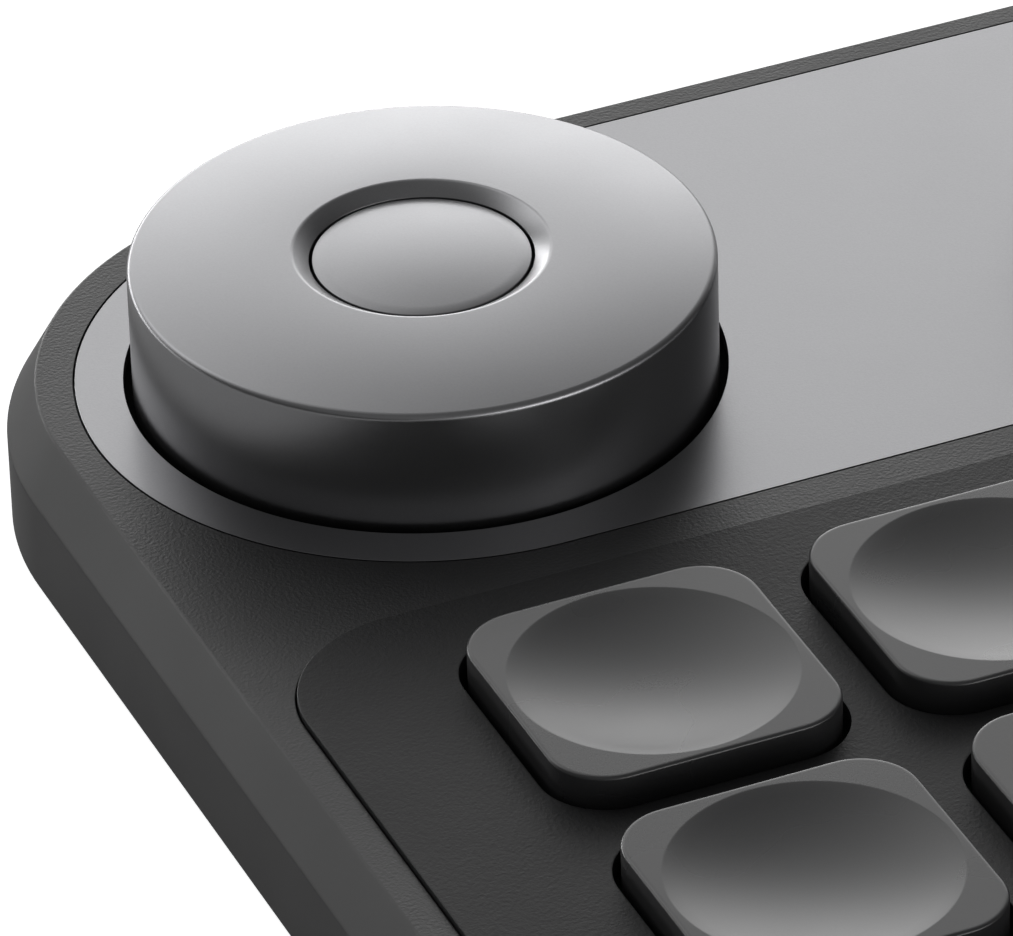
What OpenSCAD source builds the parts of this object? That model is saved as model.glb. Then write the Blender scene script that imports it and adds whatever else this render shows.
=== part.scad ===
// Low macro keypad: a grid of dished keys in a raised deck, and two turned
// knobs with a push button through the middle of each. Millimetres, +Z up.
// The origin is on the desk, under the middle of the case.

/* [Case] */
// Height of the case from its lower rim to its top face
case_h = 8.2; // [7.4:0.1:10]
// Radius of the corners of the top face
corner_r = 19.4; // [18.6:0.1:22]
// How far the case widens from the top face to its side wall
taper_w = 1.65; // [0.6:0.05:2.2]
// Height of that taper
taper_h = 2.95; // [1.5:0.05:3.2]
// Thickness of the side wall
wall = 2.2; // [1.8:0.1:2.6]
// Thickness of the roof, with its pockets not cut
roof_t = 2.2; // [2:0.1:2.3]
// Strip of top face left round the sides and the front of the deck
edge_strip = 1.9; // [1.7:0.05:4]

/* [Keys] */
// Number of key columns
columns = 4; // [4:1:5]
// Number of key rows
rows = 3; // [2:1:4]
// Distance between the middles of neighbouring keys
key_pitch = 19.05; // [18.6:0.05:19.6]
// Width and depth of a key cap
cap_w = 15.85; // [15.4:0.05:16.2]
// Radius of the corners of a cap
cap_r = 3.2; // [2.4:0.1:4]
// Height of a cap from its skirt to its rim
cap_h = 2.6; // [2.3:0.1:2.7]
// Height of the cap's rim over the deck
cap_rise = 1.6; // [1.5:0.1:2.2]
// Wall of the cap's skirt
cap_wall = 1.1; // [0.8:0.1:1.2]
// Thickness of the cap under the lowest point of its dish
cap_skin = 1; // [0.8:0.05:1.05]
// Radius of the round dish in a cap
dish_r = 7.42; // [6.5:0.02:7.6]
// Depth of the dish
dish_depth = 0.8; // [0.5:0.05:0.85]
// Chamfer round the top edge of a cap
cap_edge = 0.18; // [0.1:0.02:0.3]
// How far a key goes down
key_travel = 1.3; // [0.8:0.1:1.35]

/* [Deck] */
// Thickness of the deck
deck_t = 1.5; // [1.3:0.1:1.7]
// How far the deck stands over the top face
deck_rise = 0.3; // [0.1:0.1:0.5]
// Radius of the deck's two back corners
deck_back_r = 7.05; // [5:0.05:9]
// Deck left beside the outer key columns
deck_side = 8.75; // [7:0.05:10]
// Deck left behind the first row and in front of the last
deck_end = 4.45; // [4:0.05:6]
// Gap between a cap and its well
well_gap = 0.42; // [0.35:0.01:0.5]
// Chamfer round the top edge of the deck
deck_edge = 0.12; // [0.08:0.02:0.2]

/* [Plate] */
// Depth of the pill-shaped inlay plate, and twice its end radius
plate_d = 37.3; // [36:0.1:38]
// Thickness of the plate
plate_t = 0.8; // [0.6:0.1:1]
// Strip of top face between the plate and the deck
plate_to_deck = 2.8; // [2:0.1:4]
// Strip of top face behind the plate
plate_to_back = 1.65; // [1.2:0.05:3]
// Distance of each knob's axis from the side of the top face
knob_inset = 20.5; // [20.2:0.1:23]
// Gap round the plate and round the deck
seam = 0.12; // [0.1:0.01:0.2]

/* [Knobs] */
// Radius of a knob
knob_r = 15.6; // [14:0.1:15.8]
// Height of the knob's rim over the plate
knob_h = 6.87; // [6:0.1:9]
// How much higher the lip round the button is than the rim
knob_crown = 0.57; // [0.2:0.01:0.8]
// Radius of that lip
lip_r = 6.84; // [6.6:0.02:8]
// How far the button's edge lies under the lip
sink_depth = 0.57; // [0.3:0.01:0.8]
// Gap between the knob and the hole in the plate
knob_gap = 0.48; // [0.35:0.01:0.6]
// Rounding of the knob's top edge
knob_edge = 0.34; // [0.1:0.02:0.5]
// Wall of the knob's rim
knob_wall = 1.8; // [1.4:0.1:2.5]
// Thickness of the knob under its rim's top edge
knob_top_t = 1.9; // [1.6:0.1:2.4]
// Radius of the button
button_r = 5.8; // [5.4:0.02:6]
// Height of the button's dome
button_dome = 0.3; // [0.1:0.05:0.5]
// How far the button goes down
button_travel = 0.6; // [0.3:0.1:0.8]
// Thickness of the button at its edge
button_t = 1.6; // [1.4:0.1:1.8]

/* [Inside] */
// Thickness of the bottom cover
cover_t = 1.2; // [1:0.1:1.4]
// Thickness of the circuit board
board_t = 1; // [0.8:0.1:1.2]
// Height of a switch housing
switch_h = 3; // [2.9:0.1:3.1]
// Width and depth of a switch housing
switch_w = 12.6; // [11.8:0.1:12.7]
// Radius of a switch's post
post_r = 2.8; // [2.7:0.05:3]
// Radius of the bore in a knob's fixed bushing
bush_bore_r = 2; // [1.8:0.05:2.3]
// Radius of the outside of that bushing
bush_r = 4; // [3.6:0.05:4.1]
// Radius of the outside of the hollow rotor
rotor_r = 5.4; // [5.2:0.05:5.5]
// Radius of an encoder's base
encoder_r = 8; // [7.8:0.1:9]
// Running clearance between a shaft and its bore
fit = 0.05; // [0.03:0.01:0.08]
// Width of the USB-C shell
usb_w = 8.94; // [8.9:0.02:9]
// Height of the USB-C shell
usb_h = 3.16; // [3.1:0.02:3.2]
// Length of the USB-C shell
usb_l = 7.3; // [6.5:0.1:8]

/* [Underside] */
// How far the feet stand out under the case
foot_h = 1; // [0.6:0.1:2]
// Length of a foot strip
foot_l = 60; // [40:1:64]
// Width of a foot strip
foot_w = 5.5; // [4:0.1:6]
// Depth of the recess that holds a foot
foot_sink = 0.4; // [0.2:0.05:0.6]
// Radius of a screw's thread
screw_r = 1; // [0.8:0.05:1.1]
// Radius of a screw's head
head_r = 1.9; // [1.7:0.05:2]
// Radius of a screw boss
boss_r = 2.4; // [2.2:0.1:2.6]

/* [Hidden] */
$fn = 72;
tiny = 0.01;

// Plan of the case, worked out from the keys
key_span_x = (columns - 1) * key_pitch + cap_w;
key_span_y = (rows - 1) * key_pitch + cap_w;
deck_w = key_span_x + 2 * deck_side;
deck_d = key_span_y + 2 * deck_end;
top_w = deck_w + 2 * edge_strip;
top_d = edge_strip + deck_d + plate_to_deck + plate_d + plate_to_back;
case_w = top_w + 2 * taper_w;
case_d = top_d + 2 * taper_w;
deck_front_r = corner_r - edge_strip;
deck_y = -top_d / 2 + edge_strip + deck_d / 2;
knob_y = top_d / 2 - plate_to_back - plate_d / 2;
knob_x = top_w / 2 - knob_inset;
hollow_w = case_w - 2 * wall;
hollow_d = case_d - 2 * wall;
hollow_r = corner_r + taper_w - wall;

// Levels, from the desk up
z_rim = foot_h;
z_cover = z_rim + cover_t;
z_top = z_rim + case_h;
z_roof = z_top - roof_t;
z_deck = z_top + deck_rise;
z_deck_under = z_deck - deck_t;
z_plate_under = z_top - plate_t;
z_well = z_plate_under - 0.6;
switch_room = 0.4;
z_board = z_deck_under - switch_room - switch_h;
z_board_under = z_board - board_t;

// Keys and switches
z_cap = z_deck + cap_rise;
z_skirt = z_cap - cap_h;
z_cap_ceiling = z_cap - dish_depth - cap_skin;
dish_sphere_r = (dish_r * dish_r + dish_depth * dish_depth) / (2 * dish_depth);
peg_r = 1.5;
peg_h = 0.9;
hub_r = post_r - 0.2;
z_shoulder = z_cap_ceiling - peg_h - 0.1;
switch_floor = 0.5;
switch_roof = 0.6;
switch_wall = 0.8;
flange_t = 0.4;
flange_r = 4.2;
stem_bore = 0.9;
stop_gap = 0.05;
z_flange = z_board + switch_h - switch_roof - stop_gap - flange_t;
dome_r = 1.8;
dome_h = 0.7;
dome_t = 0.15;
housing_r = 1;

// Knobs
z_knob_rim = z_top + knob_h;
z_lip = z_knob_rim + knob_crown;
z_button = z_lip - sink_depth;
button_gap = 0.17;
bore_top_r = button_r + button_gap;
z_knob_low = z_well + 0.4;
z_button_under = z_button - button_t;
head_sink = 0.8;
plunger_head_r = 2.6;
z_bush_top = z_button_under - button_travel - 0.4;
z_pit = z_bush_top - 0.3;
knob_hub_r = lip_r + 1.2;
z_encoder = z_roof - 0.2;
well_r = knob_r + knob_gap + 0.3;
shaft_hole_r = rotor_r + 0.6;
encoder_floor = 0.5;
encoder_lid = 0.4;
encoder_wall = 0.8;
rotor_flange_r = encoder_r - encoder_wall - 0.3;
z_rotor_low = z_board + encoder_floor + 0.3;
z_rotor_flange = z_encoder - encoder_lid - 0.3;
z_plunger = z_board + dome_h + button_travel + 0.1;

// Screws, at the middle of each corner
boss_reach = (hollow_r - boss_r - 1) / sqrt(2);
boss_x = hollow_w / 2 - hollow_r + boss_reach;
boss_y = hollow_d / 2 - hollow_r + boss_reach;
screw_l = 4.4;
head_h = 0.9;
head_clear = 0.08;
pilot_r = screw_r + fit;
cross_l = 2.2;
cross_w = 0.44;
cross_depth = 0.5;

// Ribs, and the ledge that carries the deck
rib_t = 1.2;
roof_rib_x = 6;
roof_rib_l = 18;
deck_ledge = 1.3;

// Board, cover and feet
board_gap = 0.8;
cover_gap = 0.15;
board_post_r = 1.8;
chip_w = 7;
chip_t = 0.9;
foot_y = hollow_d / 2 - foot_w / 2 - 4;
usb_wall = 0.3;
usb_z = z_board - 0.2;
usb_front = case_d / 2 - 0.6;
usb_port_gap = 0.2;
tongue_w = usb_w * 0.75;
tongue_t = 0.7;

SIDES = ["left", "right"];
function side(i) = i == 0 ? -1 : 1;
function cap_name(r, c) = str("keycap_r", r + 1, "_c", c + 1);
function stem_name(r, c) = str("switch_stem_r", r + 1, "_c", c + 1);
function arc(cx, cy, r, a, b, n) =
    [for (i = [0:n]) let (t = a + (b - a) * i / n) [cx + r * cos(t), cy + r * sin(t)]];
function key_x(c) = (c - (columns - 1) / 2) * key_pitch;
function key_y(r) = deck_y + ((rows - 1) / 2 - r) * key_pitch;

// ---- Shapes used by several pieces ----

module four_corners(x, y) {
    for (sx = [-1, 1], sy = [-1, 1]) translate([sx * x, sy * y, 0]) children();
}

// Rectangle with true round corners, one radius behind and one in front
module rounded_plan(w, d, back_r, front_r) {
    x = w / 2;
    y = d / 2;
    polygon([[-x, y - back_r], [-x + back_r, y], [x - back_r, y], [x, y - back_r],
             [x, front_r - y], [x - front_r, -y], [front_r - x, -y], [-x, front_r - y]]);
    for (s = [-1, 1]) {
        translate([s * (x - back_r), y - back_r]) circle(back_r);
        translate([s * (x - front_r), front_r - y]) circle(front_r);
    }
}

module rounded_block(w, d, r, h) {
    linear_extrude(h) rounded_plan(w, d, r, r);
}

// The same, with its four sides and corners leaning in by lean at the top
module tapered_block(w, d, r, h, lean) {
    rotate([90, 0, 90]) linear_extrude(w - 2 * r, center = true)
        polygon([[-d / 2, 0], [d / 2, 0], [d / 2 - lean, h], [lean - d / 2, h]]);
    rotate([90, 0, 0]) linear_extrude(d - 2 * r, center = true)
        polygon([[-w / 2, 0], [w / 2, 0], [w / 2 - lean, h], [lean - w / 2, h]]);
    four_corners(w / 2 - r, d / 2 - r) cylinder(h = h, r1 = r, r2 = r - lean);
}

module deck_plan(grow) {
    translate([0, deck_y]) rounded_plan(deck_w + 2 * grow, deck_d + 2 * grow,
                                        deck_back_r + grow, deck_front_r + grow);
}

module plate_plan(grow) {
    translate([0, knob_y]) {
        square([2 * knob_x, plate_d + 2 * grow], center = true);
        for (s = [-1, 1]) translate([s * knob_x, 0]) circle(plate_d / 2 + grow);
    }
}

module at_keys() {
    for (r = [0:rows - 1], c = [0:columns - 1]) translate([key_x(c), key_y(r), 0]) children();
}

module at_knobs() {
    for (s = [-1, 1]) translate([s * knob_x, knob_y, 0]) children();
}

module at_screws() {
    four_corners(boss_x, boss_y) children();
}

// ---- Case ----

module usb_slot(grow, length) {
    h = usb_h + 2 * grow;
    rotate([90, 0, 0]) linear_extrude(length) rounded_plan(usb_w + 2 * grow, h, h / 2 - tiny, h / 2 - tiny);
}

module top_case() color("#3a3a3c") {
    lower_h = case_h - taper_h;
    difference() {
        union() {
            translate([0, 0, z_rim]) rounded_block(case_w, case_d, corner_r + taper_w, lower_h);
            translate([0, 0, z_rim + lower_h])
                tapered_block(case_w, case_d, corner_r + taper_w, taper_h, taper_w);
        }
        translate([0, 0, z_rim - 1]) rounded_block(hollow_w, hollow_d, hollow_r, z_roof - z_rim + 1);
        translate([0, 0, z_deck_under]) linear_extrude(roof_t) deck_plan(seam);
        translate([0, 0, z_roof - 1]) linear_extrude(roof_t + 1) deck_plan(-deck_ledge);
        translate([0, 0, z_plate_under]) linear_extrude(plate_t + 1) plate_plan(seam);
        at_knobs() {
            translate([0, 0, z_well]) cylinder(h = roof_t, r = well_r);
            translate([0, 0, z_roof - 1]) cylinder(h = roof_t + 1, r = shaft_hole_r);
        }
        translate([0, case_d / 2 + 1, usb_z]) usb_slot(usb_port_gap, wall + 2);
    }
    difference() {
        union() {
            at_screws() translate([0, 0, z_cover]) cylinder(h = z_roof - z_cover + 0.3, r = boss_r);
            corner_ribs();
            roof_ribs();
        }
        at_screws() translate([0, 0, z_cover - 1]) cylinder(h = screw_l, r = pilot_r);
    }
}

// A rib from each screw boss out to the corner of the wall
module corner_ribs() {
    for (sx = [-1, 1], sy = [-1, 1]) translate([sx * boss_x, sy * boss_y, z_cover + 0.6])
        rotate([0, 0, atan2(sy, sx)]) translate([boss_r - 0.4, -rib_t / 2, 0])
            cube([boss_r, rib_t, z_roof - z_cover - 0.3]);
}

// Stiffening ribs under the roof, between the two knobs
module roof_ribs() {
    for (x = [-1, 1] * roof_rib_x) translate([x - rib_t / 2, knob_y - roof_rib_l * 2 / 3, z_roof - 0.8])
        cube([rib_t, roof_rib_l, 1]);
}

module inlay_plate() color("#b4b5b7") difference() {
    translate([0, 0, z_plate_under]) linear_extrude(plate_t) plate_plan(0);
    at_knobs() translate([0, 0, z_plate_under - 1]) cylinder(h = plate_t + 2, r = knob_r + knob_gap);
}

module key_deck() color("#39393b") difference() {
    union() {
        translate([0, 0, z_deck_under]) linear_extrude(deck_t - deck_edge) deck_plan(0);
        translate([0, 0, z_deck_under]) linear_extrude(deck_t) deck_plan(-deck_edge);
    }
    at_keys() translate([0, 0, z_deck_under - 1])
        rounded_block(cap_w + 2 * well_gap, cap_w + 2 * well_gap, cap_r + well_gap, deck_t + 2);
}

module bottom_cover() color("#2c2c2e") difference() {
    union() {
        translate([0, 0, z_rim])
            rounded_block(hollow_w - 2 * cover_gap, hollow_d - 2 * cover_gap, hollow_r - cover_gap, cover_t);
        board_posts();
    }
    at_screws() translate([0, 0, z_rim]) {
        translate([0, 0, -1]) cylinder(h = cover_t + 2, r = screw_r + 0.15);
        cylinder(h = head_h + head_clear, r1 = head_r + head_clear, r2 = screw_r + head_clear);
    }
    for (s = [-1, 1]) translate([0, s * foot_y, z_rim - 1])
        rounded_block(foot_l + 0.2, foot_w + 0.2, foot_w / 2 + 0.1 - tiny, foot_sink + 1);
}

// Posts that carry the circuit board, between the keys and beside the knobs
module board_posts() {
    post_h = z_board_under - z_cover;
    for (x = [-1, 0, 1] * (columns > 4 ? 1.5 : 1) * key_pitch, y = [-0.5, 0.5] * key_pitch)
        translate([x, deck_y + y, z_cover - 0.2]) cylinder(h = post_h + 0.2, r = board_post_r);
    for (s = [-1, 1]) translate([s * 1.5 * chip_w, knob_y - chip_w / 2, z_cover - 0.2])
        cylinder(h = post_h + 0.2, r = board_post_r);
}

module foot_strips() color("#1d1d1e") for (s = [-1, 1]) translate([0, s * foot_y, 0])
    rounded_block(foot_l, foot_w, foot_w / 2 - tiny, foot_h + foot_sink);

module case_screws() color("#8d8f92") at_screws() difference() {
    union() {
        translate([0, 0, z_rim]) cylinder(h = head_h, r1 = head_r, r2 = screw_r);
        translate([0, 0, z_rim + head_h - 0.1]) cylinder(h = screw_l - head_h - 0.6, r = screw_r);
    }
    for (a = [0, 90]) rotate([0, 0, a]) translate([-cross_l / 2, -cross_w / 2, z_rim - 1])
        cube([cross_l, cross_w, 1 + cross_depth]);
}

// ---- Electronics ----

module circuit_board() color("#22301f") difference() {
    w = hollow_w - 2 * board_gap;
    d = hollow_d - 2 * board_gap;
    translate([0, 0, z_board_under]) rounded_block(w, d, hollow_r - board_gap, board_t);
    at_screws() translate([0, 0, z_board_under - 1]) cylinder(h = board_t + 2, r = boss_r + 0.5);
    for (sx = [-1, 1], sy = [-1, 1]) translate([sx * boss_x, sy * boss_y, z_board_under - 1])
        rotate([0, 0, atan2(sy, sx)]) translate([0, -1.1, 0]) cube([2 * boss_r + 2, 2.2, board_t + 2]);
    translate([-usb_w / 2 - 0.2, usb_front - usb_l - 0.2, z_board_under - 1])
        cube([usb_w + 0.4, usb_l + 5, board_t + 2]);
}

module board_chips() color("#18181a") {
    translate([-chip_w / 2, knob_y - chip_w / 2, z_board]) cube([chip_w, chip_w, chip_t]);
    translate([-chip_w / 4, knob_y - 1.4 * chip_w, z_board]) cube([chip_w / 2, chip_w / 2, chip_t]);
    translate([-chip_w / 4, knob_y + chip_w, z_board]) cube([chip_w / 2, chip_w / 4, chip_t]);
}

module usb_c_receptacle() color("#a9abad") {
    translate([0, usb_front, usb_z]) {
        difference() {
            usb_slot(0, usb_l);
            translate([0, 1, 0]) usb_slot(-usb_wall, usb_l);
        }
        translate([-tongue_w / 2, 0.5 - usb_l, -tongue_t / 2])
            cube([tongue_w, usb_l - 1.3, tongue_t]);
    }
    for (s = [-1, 1]) translate([s * (usb_w / 2 + 0.5) - 0.8, usb_front - usb_l + 0.6, z_board])
        cube([1.6, 2.4, 0.3]);
}

module switch_housings() color("#232325") at_keys() difference() {
    translate([0, 0, z_board]) rounded_block(switch_w, switch_w, housing_r, switch_h);
    translate([0, 0, z_board + switch_floor])
        rounded_block(switch_w - 2 * switch_wall, switch_w - 2 * switch_wall, housing_r / 2,
                      switch_h - switch_floor - switch_roof);
    translate([0, 0, z_board + 1]) cylinder(h = switch_h, r = post_r + fit);
}

module snap_dome(low) {
    sphere_r = (dome_r * dome_r + dome_h * dome_h) / (2 * dome_h);
    translate([0, 0, low]) intersection() {
        cylinder(h = dome_h, r = dome_r);
        translate([0, 0, dome_h - sphere_r]) difference() {
            sphere(sphere_r);
            sphere(sphere_r - dome_t);
        }
    }
}

module switch_domes() color("#c8c3b4") at_keys() snap_dome(z_board + switch_floor);

// ---- Keys ----

module keycap() color("#5c5d5f") {
    body_h = cap_h - cap_edge;
    difference() {
        translate([0, 0, z_skirt]) {
            rounded_block(cap_w, cap_w, cap_r, body_h);
            translate([0, 0, body_h]) tapered_block(cap_w, cap_w, cap_r, cap_edge, cap_edge);
        }
        translate([0, 0, z_cap - dish_depth + dish_sphere_r]) sphere(dish_sphere_r, $fn = 180);
        translate([0, 0, z_skirt - 1])
            rounded_block(cap_w - 2 * cap_wall, cap_w - 2 * cap_wall, cap_r - cap_wall,
                          z_cap_ceiling - z_skirt + 1);
    }
    difference() {
        translate([0, 0, z_shoulder]) cylinder(h = z_cap_ceiling - z_shoulder + 0.2, r = hub_r);
        translate([0, 0, z_shoulder - 1]) cylinder(h = 1 + peg_h, r = peg_r);
    }
}

module switch_stem() color("#8f3d3a") difference() {
    union() {
        translate([0, 0, z_flange]) cylinder(h = flange_t, r = flange_r);
        translate([0, 0, z_flange]) cylinder(h = z_shoulder - z_flange, r = post_r);
        translate([0, 0, z_shoulder - 0.1]) cylinder(h = peg_h, r = peg_r);
    }
    translate([0, 0, z_flange - 1]) cylinder(h = 1 + stem_bore, r = dome_r + 0.3);
}

// ---- Knobs ----

// Outline of a knob, to be spun round its axis
module knob_section() {
    in_r = knob_r - knob_wall;
    z_ceiling = z_knob_rim - knob_top_t;
    fillet = arc(knob_r - knob_edge, z_knob_rim - knob_edge, knob_edge, 0, 90 - 3, 5);
    polygon(concat(
        [[knob_r - 0.2, z_knob_low], [knob_r, z_knob_low + 0.2]],
        fillet,
        [[lip_r, z_lip], [bore_top_r, z_button], [bore_top_r, z_pit], [rotor_r, z_pit],
         [rotor_r, z_well + 0.7], [knob_hub_r, z_well + 0.7], [knob_hub_r, z_ceiling - 0.6],
         [knob_hub_r + 0.6, z_ceiling], [in_r - 0.6, z_ceiling], [in_r, z_ceiling - 0.6],
         [in_r, z_knob_low]]));
}

module knob() color("#9c9da0") rotate_extrude() knob_section();

module knob_rotor() color("#6f7174") {
    bore = bush_r + fit;
    difference() {
        union() {
            translate([0, 0, z_rotor_low]) cylinder(h = z_pit - z_rotor_low, r = rotor_r);
            translate([0, 0, z_rotor_low]) cylinder(h = z_rotor_flange - z_rotor_low, r = rotor_flange_r);
        }
        translate([0, 0, z_board]) cylinder(h = z_pit, r = bore);
    }
}

// Cup that holds the rotor's flange, with the bushing that the rotor turns on
module encoder_base() color("#2a2a2c") rotate_extrude() {
    mouth_r = rotor_r + 0.3;
    translate([bush_bore_r, z_board]) square([bush_r - bush_bore_r, z_bush_top - z_board]);
    translate([bush_bore_r, z_board]) square([encoder_r - bush_bore_r, encoder_floor]);
    translate([encoder_r - encoder_wall, z_board]) square([encoder_wall, z_encoder - z_board]);
    translate([mouth_r, z_encoder - encoder_lid]) square([encoder_r - mouth_r, encoder_lid]);
}

module button_dome_piece() color("#c8c3b4") snap_dome(z_board);

module knob_button() color("#a2a3a6") {
    dome_sphere_r = (button_r * button_r + button_dome * button_dome) / (2 * button_dome);
    difference() {
        intersection() {
            translate([0, 0, z_button_under]) cylinder(h = button_t + button_dome, r = button_r);
            translate([0, 0, z_button + button_dome - dome_sphere_r]) sphere(dome_sphere_r, $fn = 180);
        }
        translate([0, 0, z_button_under - 1]) cylinder(h = 1 + head_sink, r = plunger_head_r);
    }
}

module button_plunger() color("#d8d6cf") {
    translate([0, 0, z_plunger])
        cylinder(h = z_button_under - z_plunger, r = bush_bore_r - fit);
    translate([0, 0, z_button_under - 0.1]) cylinder(h = head_sink + 0.1, r = plunger_head_r);
}

module on_knob(i) {
    translate([side(i) * knob_x, knob_y, 0]) children();
}

top_case();
inlay_plate();
key_deck();
bottom_cover();
foot_strips();
case_screws();
circuit_board();
board_chips();
usb_c_receptacle();
switch_housings();
switch_domes();
for (i = [0, 1]) {
    on_knob(i) encoder_base();
    on_knob(i) button_dome_piece();
    on_knob(i) knob();
    on_knob(i) knob_rotor();
    on_knob(i) knob_button();
    on_knob(i) button_plunger();
}
for (r = [0:rows - 1], c = [0:columns - 1]) translate([key_x(c), key_y(r), 0]) {
    keycap();
    switch_stem();
}
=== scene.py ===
"""Dresses the macro keypad: moulded case, inlaid plate, turned knobs and dished key caps."""

from math import asin, atan2, copysign, cos, hypot, pi, radians, sin

import bmesh
import bpy
from mathutils import Matrix, Vector


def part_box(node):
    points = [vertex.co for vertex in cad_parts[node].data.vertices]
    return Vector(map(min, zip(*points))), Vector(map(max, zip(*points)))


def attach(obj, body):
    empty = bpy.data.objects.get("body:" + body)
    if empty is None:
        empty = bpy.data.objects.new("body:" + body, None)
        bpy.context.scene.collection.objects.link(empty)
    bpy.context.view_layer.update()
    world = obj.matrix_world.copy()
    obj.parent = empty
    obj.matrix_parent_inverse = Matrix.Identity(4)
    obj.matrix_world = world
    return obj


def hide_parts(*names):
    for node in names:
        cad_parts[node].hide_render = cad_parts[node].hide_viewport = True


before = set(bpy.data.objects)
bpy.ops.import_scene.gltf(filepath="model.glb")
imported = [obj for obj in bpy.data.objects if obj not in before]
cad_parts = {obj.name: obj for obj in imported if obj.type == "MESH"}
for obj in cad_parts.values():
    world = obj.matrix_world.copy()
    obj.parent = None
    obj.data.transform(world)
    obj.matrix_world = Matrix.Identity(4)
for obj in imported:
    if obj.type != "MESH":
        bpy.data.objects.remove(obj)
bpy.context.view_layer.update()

bl_info = {
    "name": "Macro Keypad With Knobs",
    "version": (1, 0, 0),
    "blender": (4, 5, 0),
    "location": "View3D > Sidebar > Keypad",
    "description": "Builds the detailed pieces and finishes of a low macro keypad",
    "category": "Add Mesh",
}

MM = 0.001
UP = Vector((0, 0, 1))
ROWS = (1, 2, 3)
COLUMNS = (1, 2, 3, 4)
KEYS = [f"r{row}_c{column}" for row in ROWS for column in COLUMNS]
SIDES = ("left", "right")

# Steps of a corner of the case and of a cap, and round a turned piece, a dish and a small hole
CASE_STEPS = 48
CAP_STEPS = 14
TURN_STEPS = 192
DISH_STEPS = 120
HOLE_STEPS = 48

# Widths of the flat strips beside rounded edges, which keep an edge's shading off the rest of
# its face, and the shares of the taper's height where its own strips end
HOLD = 0.05 * MM
DISH_HOLD = 0.02 * MM
CAP_HOLD = 0.1 * MM
RIM_HOLDS = (0.15 * MM, 0.7 * MM)
TAPER_HOLDS = (0.06, 0.94)

# Faces that meet at more than this are shaded with a sharp edge between them
CREASE = radians(32)

# Lengths this close count as the same, and points this close become one
NEAR = 0.01 * MM
WELD = 0.005 * MM

# Standard parts: the shell of a USB-C inlet with its gap in the wall, and the screws' M2 head
INLET_W = 8.94 * MM
INLET_H = 3.16 * MM
INLET_GAP = 0.2 * MM
HEAD_R = 1.9 * MM


def size(millimetres):
    """A length in metres."""
    return millimetres * MM


def linear(hex_colour):
    """An sRGB hex colour as three linear numbers."""
    values = [int(hex_colour[i : i + 2], 16) / 255 for i in (1, 3, 5)]
    return tuple(v / 12.92 if v <= 0.04045 else ((v + 0.055) / 1.055) ** 2.4 for v in values)


def level(node, top=True):
    """The highest or lowest level of a CAD node."""
    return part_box(node)[1 if top else 0].z


def middle(node):
    """The middle of a CAD node in plan."""
    low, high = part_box(node)
    return (low.x + high.x) / 2, (low.y + high.y) / 2


def spread(node):
    """The width and depth of a CAD node."""
    low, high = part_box(node)
    return high.x - low.x, high.y - low.y


# ---- Sizes, finishes and stage, as a user would change them ----


def length(name, description, millimetres, low=0.0):
    """A length property that is shown in the scene's units."""
    return bpy.props.FloatProperty(
        name=name, description=description, default=size(millimetres), min=size(low),
        precision=5, subtype="DISTANCE", unit="LENGTH")


def colour(name, description, hex_colour):
    """A colour property with an sRGB hex default."""
    return bpy.props.FloatVectorProperty(
        name=name, description=description, default=linear(hex_colour), min=0.0, max=1.0,
        size=3, subtype="COLOR")


def number(name, description, default, low=0.0, high=100.0):
    """A plain number property."""
    return bpy.props.FloatProperty(
        name=name, description=description, default=default, min=low, max=high)


def angle(name, description, degrees):
    """An angle property."""
    return bpy.props.FloatProperty(
        name=name, description=description, default=radians(degrees), subtype="ANGLE",
        unit="ROTATION")


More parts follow.
